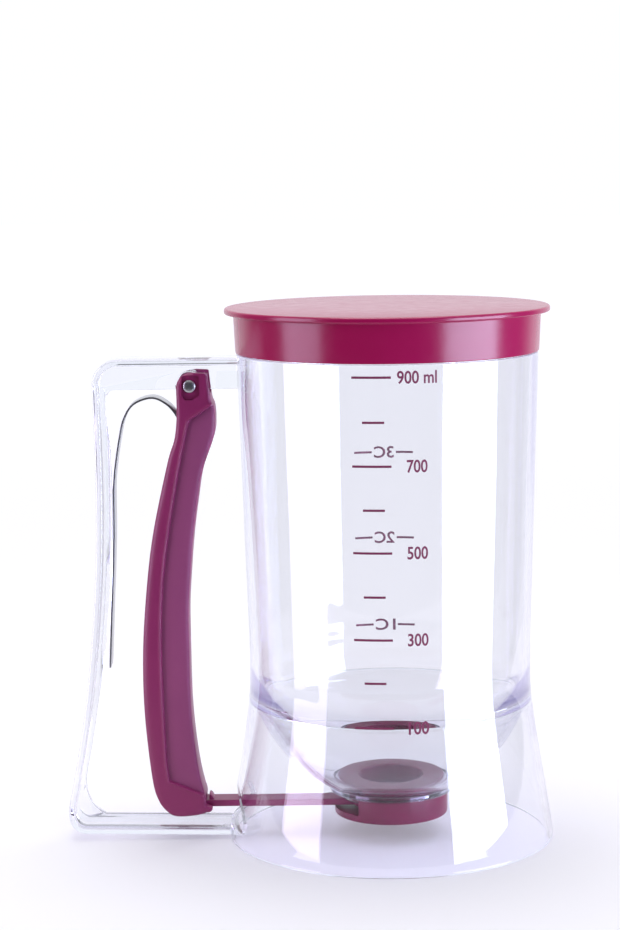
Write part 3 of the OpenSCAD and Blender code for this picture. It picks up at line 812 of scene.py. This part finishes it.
def inside(points, line):
    """Whether each point lies inside a closed line."""
    p, a = np.array(points, float), np.array(line, float)
    b = np.roll(a, -1, axis=0)
    crosses = (a[:, 1] > p[:, None, 1]) != (b[:, 1] > p[:, None, 1])
    slant = (b[:, 0] - a[:, 0]) / np.where(b[:, 1] == a[:, 1], 1e-9, b[:, 1] - a[:, 1])
    return ((crosses & (p[:, None, 0] < slant * (p[:, None, 1] - a[:, 1]) + a[:, 0])).sum(1) % 2) == 1


def relief(name, outline, guides, height, step, material):
    """A closed plate, the same on both sides, whose half thickness is height(points)."""
    loops = [spread(outline, 0.7)] + guides
    low, high = np.min(outline, axis=0), np.max(outline, axis=0)
    grid = [(x, z) for x in np.arange(low[0], high[0], step) for z in np.arange(low[1], high[1], step)]
    keep = inside(grid, outline) & (distance_to(grid, outline, True) > 0.4 * step)
    for g in guides:
        keep &= distance_to(grid, g) > 0.3 * step
    points, edges = [], []
    for loop in loops:
        start, n = len(points), len(loop)
        points += loop
        edges += [(start + i, start + i + 1) for i in range(n - 1)]
        if start == 0:
            edges.append((n - 1, 0))
    rim = list(range(len(loops[0])))
    points += [q for q, kept in zip(grid, keep) if kept]
    flat, _, faces, *_ = delaunay_2d_cdt([Vector(q) for q in points], edges, [rim], 1, 1e-5)
    flat = [(v.x, v.y) for v in flat]
    half, n = height(flat), len(flat)
    # An edge that no second face uses the other way lies on the border
    used = dict.fromkeys(pair for f in faces for pair in zip(f, [*f[1:], f[0]]))
    border = [(a, b) for a, b in used if (b, a) not in used]
    verts = [(x, side * h, z) for side in (-1, 1) for (x, z), h in zip(flat, half)]
    sides = [[b, a, a + n, b + n] for a, b in border]
    both = [list(f) for f in faces] + [[i + n for i in reversed(f)] for f in faces]
    return weld(piece(name, verts, both + sides, material), 0.001)


# %% Lever body
def runs(line, good):
    """The parts of a line where good is true."""
    out = [[]]
    for q, g in zip(line, good):
        if g:
            out[-1].append(q)
        elif out[-1]:
            out.append([])
    return [r for r in out if len(r) > 1]


def inset(line, distance):
    """A closed line moved inwards, where it stays that far from the outline."""
    moved = offset_line(line + line[:1], distance)[:-1]
    return runs(moved, inside(moved, line) & (distance_to(moved, line, True) > distance - 0.05))


def lever_height(points):
    p = np.array(points)
    down = (PIVOT_Z - p[:, 1]) / LEVER_DROP

    def edge(distance, reach, drop):
        x = np.clip(1 - distance / reach, 0, 1)
        return drop * (1 - np.sqrt(1 - x * x))

    at_back = np.interp(down, [0.02, 0.12, 0.3, 0.9, 1.02], [1.2, 1.6, 3.4, 3.6, 1.6])
    at_finger = np.interp(down, [0.0, 0.1, 0.3, 0.6, 1.0], [0.8, 1.7, 1.5, 1.2, 0.9])
    rounding = np.maximum(
        edge(distance_to(p, head_line + back_line), at_back, EDGE_DROP),
        edge(distance_to(p, finger_line), at_finger, np.minimum(at_finger, EDGE_DROP)))
    off = distance_to(p, panel_outline, True) * np.where(inside(p, panel_outline), 1, -1)
    step = np.clip(off / PANEL_WALL, 0, 1)
    # The panel is hollowed a little more beside its rim, and swells towards the middle
    hollow = RECESS * step * step * (3 - 2 * step) + HOLLOW * step * np.exp(-(off / HOLLOW_REACH) ** 2)
    # A fine lip runs along the panel's edge and stands a little above the rest of the rim
    lip = LIP * (1 - np.exp(-((off - LIP_AT) / LIP_WIDTH) ** 2)) * (off < 0.05)
    return LEVER_W / 2 - rounding - hollow - lip


def panel_lines(distance):
    """The panel's edge moved inwards, as far as it lies well inside the lever."""
    moved = offset_line(spread(panel_outline, 0.8), distance)
    return runs(moved, inside(moved, lever_outline) & (distance_to(moved, lever_outline, True) > 0.15))


fine_outline = spread(lever_outline, 0.9)
# Extra lines of points follow the rounded edge and the panel's wall, where the height changes fast
from_edge = (0.15, 0.4, 0.8, 1.3, 2.0, 2.8)
from_panel = (-0.9, -0.6, -0.35, -0.15, 0.0, 0.1, 0.2, 0.3, 0.8, 1.4, 2.2)
guides = [g for d in from_edge for g in inset(fine_outline, d)]
guides += [g for d in from_panel for g in panel_lines(d)]
lever = relief("trigger_lever_body", lever_outline, guides, lever_height, 1.1, MAGENTA)
# The panel's flat faces take the lighter magenta: a matt finish with a painted sheen
lever.data.materials.append(PANEL_SHEEN)
centres = [(f.center.x / MM, f.center.z / MM) for f in lever.data.polygons]
in_panel = inside(centres, panel_outline) & (distance_to(centres, panel_outline, True) > 0.1)
for face, let_in in zip(lever.data.polygons, in_panel):
    face.material_index = int(let_in and abs(face.normal.y) > 0.8)
report(lever)

# %% [markdown]
# The channel, the pocket round the pin and the way for the rod are cut with Booleans, because cutters made
# from the same lines keep the walls even. Two ribs at the cheeks hold the spring's inner end.

# %% Lever cuts
ROD_Z, ROD_T, ROD_W = 10.5, 2.2, 8.0
ROD_TOP_Z, ROD_WALL_X = ROD_Z + ROD_T, PIVOT_X - TOE_IN
LIFT_GAP, SLOT_DROP, SLOT_HALF = 0.3, 1.15, 6
PIN_HEAD_R, POCKET_DEPTH = 2.1, 1.1
cheek_in = LEVER_W / 2 - CHEEK_T
pocket = [(-PIVOT_X + PIN_HEAD_R * x, PIVOT_Z + PIN_HEAD_R * z) for x, z in rounded([
    (-1.2, -1.55, 0.2), (-1.2, 1.45, 0.3), (-0.9, 1.7, 0.3), (1.35, 1.7, 0.2), (1.6, 1.45, 0.2),
    (1.6, -1.4, 0.2), (0.45, -2.15, 0.3), (-0.75, -2.15, 0.3)])]
channel = [(x - FINGER_T, z + BOTTOM_T) for x, z in lever_outline]
above = rectangle(-95, -45, HOLE_TOP_Z - 1.2, 175)
slot = rectangle(-ROD_WALL_X - SLOT_HALF, -ROD_WALL_X + SLOT_HALF, ROD_Z - SLOT_DROP, ROD_TOP_Z + LIFT_GAP)
combine(lever, [across("channel", channel, 2 * cheek_in), across("above", above, 2 * cheek_in),
                bar("lever_bore", PIN_R + 0.05, 30), across("slot", slot, ROD_W + 1.2)]
        + [across("pocket", pocket, 2 * POCKET_DEPTH, s * LEVER_W / 2) for s in (-1, 1)])

# %% Ribs for the spring
STRIP_W, STRIP_T, SPRING_REACH, SPRING_DROP, RIB_H = 9.0, 0.7, 25.2, 43.9, 8


def rib_outline():
    """The wall's line between two heights, moved back behind the spring."""
    low = PIVOT_Z - SPRING_DROP
    wall = [q for q in finger_line if low <= q[1] <= low + RIB_H]
    front = STRIP_T + 6 * LIFT_GAP + FINGER_T
    return [(x - front, z) for x, z in wall] + [(x - front - FINGER_T, z) for x, z in reversed(wall)]


rib_w = (LEVER_W - 2 * CHEEK_T - STRIP_W) / 2 + LIFT_GAP
combine(lever, [across("rib", rib_outline(), rib_w, s * (cheek_in - rib_w / 2 + 0.05))
                for s in (-1, 1)], "UNION")
soften(lever, 38)
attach(lever, "lever")
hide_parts("trigger_lever")
report(lever)

# %% [markdown]
# ## Pin and spring
#
# The pin is a plain steel rod with a low domed head at each end, turned like the round pieces and laid
# across. The spring is one strip of steel, bent over at the top: the flange's sweep on its own path. Bones
# could bend it, but here it stays one fixed mesh.

# %% Pivot pin
HEAD_H, DOME_H, SHANK_END = 0.8, 0.55, LEVER_W / 2 - POCKET_DEPTH + 0.05
dome = [(PIN_HEAD_R * math.sin(a), SHANK_END + HEAD_H - DOME_H * (1 - math.cos(a)))
        for a in np.linspace(0, math.pi / 2, 12)]
half = dome + [(PIN_HEAD_R, SHANK_END), (PIN_R, SHANK_END)]
pivot = turned("pivot_pin_steel", half + [(r, -z) for r, z in half[::-1]], TURNED_STEEL, 48, closed=False)
pivot.data.transform(Matrix.Translation((-PIVOT_X * MM, 0, PIVOT_Z * MM))
                     @ Matrix.Rotation(math.pi / 2, 4, "X"))
report(pivot)
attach(pivot, "pitcher")
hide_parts("pivot_pin")


# %% Return spring
def by_bend(back, down):
    return -PIVOT_X - SPRING_REACH * back, PIVOT_Z - SPRING_REACH * down


web_side = LIFT_GAP + STRIP_T / 2
spring_line = spline(
    [by_grip(0.29, 1.337, 0.357), by_grip(0.186, 1.227, 0.423)]
    + [(x + web_side, z) for x, z in (by_grip(*q) for q in web_run[:0:-1])]
    + [by_bend(*q) for q in ((1, 1.036), (0.944, 0.702), (0.881, 0.44), (0.75, 0.242), (0.508, 0.159),
                             (0.313, 0.242), (0.175, 0.409), (0.083, 0.671), (0.028, 0.988),
                             (0.024, 1.306))]
    + [(-PIVOT_X - FINGER_T - web_side + 1, PIVOT_Z - SPRING_DROP)], 8)
spring = soften(swept("leaf_spring", spring_line, STRIP_W, STRIP_T, 0.12, STEEL), 50)
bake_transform(spring)
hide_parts("return_spring")
report(spring)

# %% [markdown]
# ## The valve
#
# Under the bowl hangs a cup that snaps onto a collar. The rod's round gate slides in it, below a seat
# that is let into the bowl's floor on a thin silicone gasket. Seat, gasket and cup are round, so they are
# turned too, and the cup's rails and its port for the rod are Booleans.

# %% Seat, gasket and housing
SEAT_Z, SEAT_T, SEAT_R, TUBE_R, BORE_R = 18.2, 1.8, 18.4, 13.0, 10.9
HOUSING_R, HOUSING_T, HOUSING_Z, HOUSING_FLOOR_T, OUTLET_R = 19.2, 1.8, 7.4, 1.7, 9.0
PORT_HALF, PORT_LOW_Z, GATE_R, RAIL_T = 16.2, 9.7, 13.2, 1.4
TUBE_LOW_Z, BEAD_R, BEAD_LOW_Z, BEAD_SIDE_Z, BEAD_TOP_Z = 12.8, TUBE_R + 0.7, 13.8, 14.2, 15.2
GASKET_R, OUTLET_RIM_R, OUTLET_TOP_Z = SEAT_R - 0.8, OUTLET_R + 2.4, 10.4
# Seat and cup take the darker magenta, painted shade for their place under the bowl
seat = turned("valve_seat_ring", [
    (BORE_R, TUBE_LOW_Z, 0.3), (TUBE_R, TUBE_LOW_Z, 0.3), (TUBE_R, BEAD_LOW_Z),
    (BEAD_R, BEAD_SIDE_Z, 0.2), (BEAD_R, BEAD_TOP_Z, 0.2), (TUBE_R, BEAD_TOP_Z), (TUBE_R, SEAT_Z),
    (SEAT_R, SEAT_Z, 0.3), (SEAT_R, SEAT_Z + SEAT_T, 0.6), (BORE_R, SEAT_Z + SEAT_T, 0.6)],
    SHADED_MAGENTA, steps=128)
gasket = turned("seat_gasket_ring", [
    (HOLE_R, FLOOR_TOP_Z, 0.1), (GASKET_R, FLOOR_TOP_Z, 0.2), (GASKET_R, SEAT_Z, 0.2),
    (HOLE_R, SEAT_Z, 0.1)], SILICONE, steps=96)
cup_in_r, cup_in_z = HOUSING_R - HOUSING_T, HOUSING_Z + HOUSING_FLOOR_T
housing = turned("valve_cup", [
    (OUTLET_R, HOUSING_Z, 0.3), (HOUSING_R, HOUSING_Z, 0.7), (HOUSING_R, FLOOR_Z, 0.3),
    (cup_in_r, FLOOR_Z, 0.2), (cup_in_r, cup_in_z, 0.4), (OUTLET_RIM_R, cup_in_z),
    (OUTLET_RIM_R, OUTLET_TOP_Z, 0.3), (OUTLET_R, OUTLET_TOP_Z, 0.3)], SHADED_MAGENTA, steps=128)
guide_y = GATE_R + LIFT_GAP


def guide(side):
    """A rail beside the gate, between two points of the cup's wall."""
    reach = math.sqrt((cup_in_r + 0.3) ** 2 - (guide_y + RAIL_T) ** 2)
    outline = rectangle(-reach, reach, cup_in_z - 0.3, ROD_TOP_Z)
    return across("guide", outline, RAIL_T, side * (guide_y + RAIL_T / 2))


port = rectangle(-2 * HOUSING_R, -OUTLET_RIM_R, PORT_LOW_Z, 30)
combine(housing, [guide(-1), guide(1)], "UNION")
combine(housing, [across("port", port, 2 * PORT_HALF)])
soften(housing, 35)
for obj, node, slot_name in ((seat, "valve_seat", "magenta"), (gasket, "seat_gasket", "silicone"),
                             (housing, "valve_housing", "magenta")):
    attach(obj, "pitcher")
    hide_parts(node)
    report(obj)

# %% [markdown]
# The pull rod is one flat moulding: the round gate, a bar and two catches that hold the lever's wall. One
# outline could give bar and gate, but a turned disc joined to a plate keeps the gate's edge truly round.

# %% Pull rod
CATCH_H, CATCH_TIP, CATCH_SINK, FRONT_CATCH, REAR_CATCH, ROD_STEP = 1.7, 0.4, 0.4, 2, 1.4, 0.6


def catch(x, length):
    """A catch that stands on the rod, upright at x and leaning away over its length."""
    top, low = ROD_TOP_Z + CATCH_H, ROD_TOP_Z - CATCH_SINK
    outline = [(x, low), (x, top - CATCH_TIP), (x + math.copysign(CATCH_TIP, length), top),
               (x + length / 2, top - CATCH_TIP), (x + length, low)]
    return round_edges(across("catch", outline, ROD_W - 2), 0.15, 2)


front_x, rear_x = -ROD_WALL_X + 3 * LIFT_GAP, -ROD_WALL_X - FINGER_T - 2 * LIFT_GAP
rod_end_x = rear_x - REAR_CATCH
rod_side = [(-GATE_R / 2, ROD_Z), (-GATE_R / 2, ROD_TOP_Z), (rod_end_x, ROD_TOP_Z),
            (rod_end_x, ROD_Z + ROD_STEP), (-ROD_WALL_X, ROD_Z + ROD_STEP), (-ROD_WALL_X, ROD_Z)]
rod = turned("pull_rod_gate", [(0, ROD_TOP_Z), (GATE_R, ROD_TOP_Z), (GATE_R, ROD_Z), (0, ROD_Z)],
             MAGENTA, steps=96, closed=False)
combine(rod, [across("rod_bar", rod_side, ROD_W)], "UNION")
rod = round_edges(rod, 0.25, 3, 50)
combine(rod, [catch(front_x, FRONT_CATCH), catch(rear_x, -REAR_CATCH)], "UNION")
soften(rod, 35)
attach(rod, "rod")
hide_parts("pull_rod")
report(rod)

# %% [markdown]
# ## The printed scale
#
# A scale is printed on the wall: millilitres in front and cups behind. Ink is far too thin to model in
# truth, so each mark is a skin 0.05 mm thick that lies on the wall. The marks repeat, so a tree sets them
# out: a short bar on each point of a list, with its length from the point. Numbers are text, made a mesh
# and then wrapped round the wall.

# %% Scale helpers
INK_LIFT, INK_T = 0.03, 0.05


def wall_radius(z):
    """The outside of the wall at a height, or of the skirt below it."""
    if z < FLARE_Z:
        return float(np.interp(z, *zip(*sorted((q[1], q[0]) for q in skirt_line))))
    return WAIST_R + (TOP_R - WAIST_R) * max(0.0, min(1.0, (z - TAPER_Z) / (LEDGE_Z - TAPER_Z)))


def wrap(obj, behind=False):
    """Bends a flat mesh in x and z, with its depth in y, round the wall."""
    for v in obj.data.vertices:
        x, depth, z = (c / MM for c in v.co)
        wall = wall_radius(z)
        radius, a = wall + INK_LIFT + depth, x / wall
        side = -1 if behind else 1
        v.co = (side * radius * math.sin(a) * MM, -side * radius * math.cos(a) * MM, z * MM)
    obj.data.update()
    return weld(obj, 0.0005)


def marks_tree():
    given, add, end = new_tree("scale_marks", [
        ("Line Height", "NodeSocketFloat", 0.0008), ("Ink Thickness", "NodeSocketFloat", 0.00005),
        ("Material", "NodeSocketMaterial", None)])
    size = add("ShaderNodeCombineXYZ", 1.0, given["Ink Thickness"], given["Line Height"])
    bar_node = add("GeometryNodeMeshCube", Size=size.outputs[0], Vertices_X=14)
    length = add("GeometryNodeInputNamedAttribute", data_type="FLOAT", Name="length")
    stretch = add("ShaderNodeCombineXYZ", length.outputs[0], 1.0, 1.0)
    place = add("GeometryNodeInstanceOnPoints", Points=given["Geometry"],
                Instance=bar_node.outputs["Mesh"], Scale=stretch.outputs[0])
    return end(place.outputs[0])


MARKS = marks_tree()


def marks(name, rows, line_height, behind=False):
    """Bars at heights z from x1 to x2."""
    obj = piece(name, [((a + b) / 2, INK_T / 2, z) for z, a, b in rows])
    lengths = obj.data.attributes.new("length", "FLOAT", "POINT")
    lengths.data.foreach_set("value", [(b - a) * MM for _, a, b in rows])
    run_tree(obj, MARKS, Line_Height=line_height * MM, Ink_Thickness=INK_T * MM, Material=INK)
    return wrap(obj, behind)


def number(name, text, x, z, height, width, behind=False):
    """Upright text with its left edge at x and its middle at z, in the given height and width."""
    curve = bpy.data.curves.new(name, "FONT")
    curve.body, curve.extrude, curve.resolution_u, curve.offset = text, INK_T / 2, 4, 0.018
    written = placed(name, curve)
    mesh = made_mesh(written)
    bpy.data.objects.remove(written)
    co = np.array([v.co for v in mesh.vertices])
    low, high = co.min(0), co.max(0)
    for v in mesh.vertices:
        u = (v.co.x - low[0]) / (high[0] - low[0])
        t = (v.co.y - low[1]) / (high[1] - low[1]) - 0.5
        v.co = ((x + u * width) * MM, (v.co.z + INK_T / 2) * MM, (z + t * height) * MM)
    mesh.materials.clear()
    mesh.materials.append(INK)
    return wrap(placed(name, mesh), behind)


# %% Scales
NUMBERED_Z = (161.0, 132.7, 104.8, 76.5, 47.7)
long_rows = [(z, -13.0, -0.5) for z in NUMBERED_Z]
short_rows = [(z, -9.7, -2.7) for z in (146.7, 118.6, 90.5, 62.3)]
prints = [marks("scale_ml_marks", long_rows + short_rows, 0.75)]
for text, z in zip(("900 ml", "700", "500", "300", "100"), NUMBERED_Z):
    x, width = (1.4, 12.8) if "ml" in text else (4.3, 6.7)
    prints.append(number("scale_ml_" + text.split()[0], text, x, z, 4.2, width))
for text, z in (("3C", 121.2), ("2C", 92.0), ("1C", 62.0)):
    prints.append(marks("scale_cup_marks_" + text, [(z, -11.0, -4.6), (z, 4.4, 11.0)], 0.72, True))
    prints.append(number("scale_cup_" + text, text, -3.8, z, 4.0, 7.4, True))
for obj in prints:
    # The wall mirrors its own print too faintly to see, so mirror images leave the print out
    obj.visible_glossy = False
    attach(obj, "pitcher")
print("printed pieces:", len(prints))
